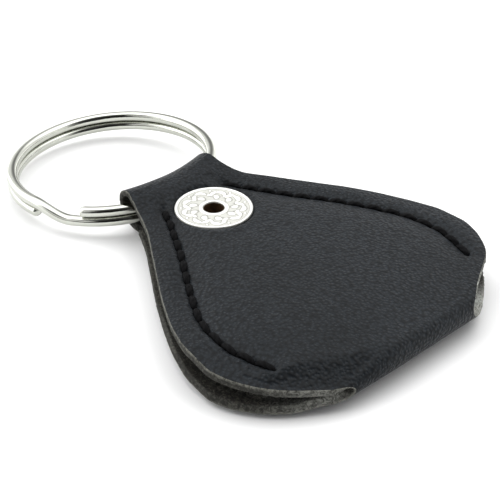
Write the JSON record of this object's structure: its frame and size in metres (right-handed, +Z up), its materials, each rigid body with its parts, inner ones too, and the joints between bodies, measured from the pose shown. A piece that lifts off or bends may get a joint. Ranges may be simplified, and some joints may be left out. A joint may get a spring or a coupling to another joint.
{
  "type": "guitar pick holder",
  "caption": "Folded leather pouch for guitar picks with sewn sides, a snap-closed tab on the back and a split key ring through the loop at its tip",
  "frame": {"origin": "centre of the bounding box, at its base, on the surface the holder lies on", "axes": "+Y from the folded wide end to the key ring, +Z up out of the front panel, X across"},
  "size_m": [0.051, 0.0851, 0.0081],
  "materials": {
    "leather": "black pebbled grain, soft sheen",
    "bright_nickel": "polished nickel plate",
    "satin_nickel": "satin nickel with raised relief",
    "spring_steel": "plain spring wire",
    "black_thread": "twisted black thread"
  },
  "bodies": {
    "pouch": {"leather_body": "leather", "snap_post": "satin_nickel", "snap_stud": "bright_nickel", "seam_thread_top_left": "black_thread", "seam_thread_top_right": "black_thread", "seam_thread_bottom_left": "black_thread", "seam_thread_bottom_right": "black_thread"},
    "tab": {"closure_tab": "leather", "snap_socket": "bright_nickel", "snap_spring": "spring_steel", "snap_cap": "bright_nickel"},
    "ring": {"split_ring": "bright_nickel"}
  },
  "joints": [
    {"name": "ring_swing", "type": "hinge", "parent": "pouch", "child": "ring", "pos_m": [0, 0.00981, 0.0043], "axis": [1, 0, 0], "range_deg": [-70, 120]},
    {"name": "tab_open", "type": "hinge", "parent": "pouch", "child": "tab", "pos_m": [0, 0.00966, 0.0005], "axis": [1, 0, 0], "range_deg": [0, 110]}
  ]
}
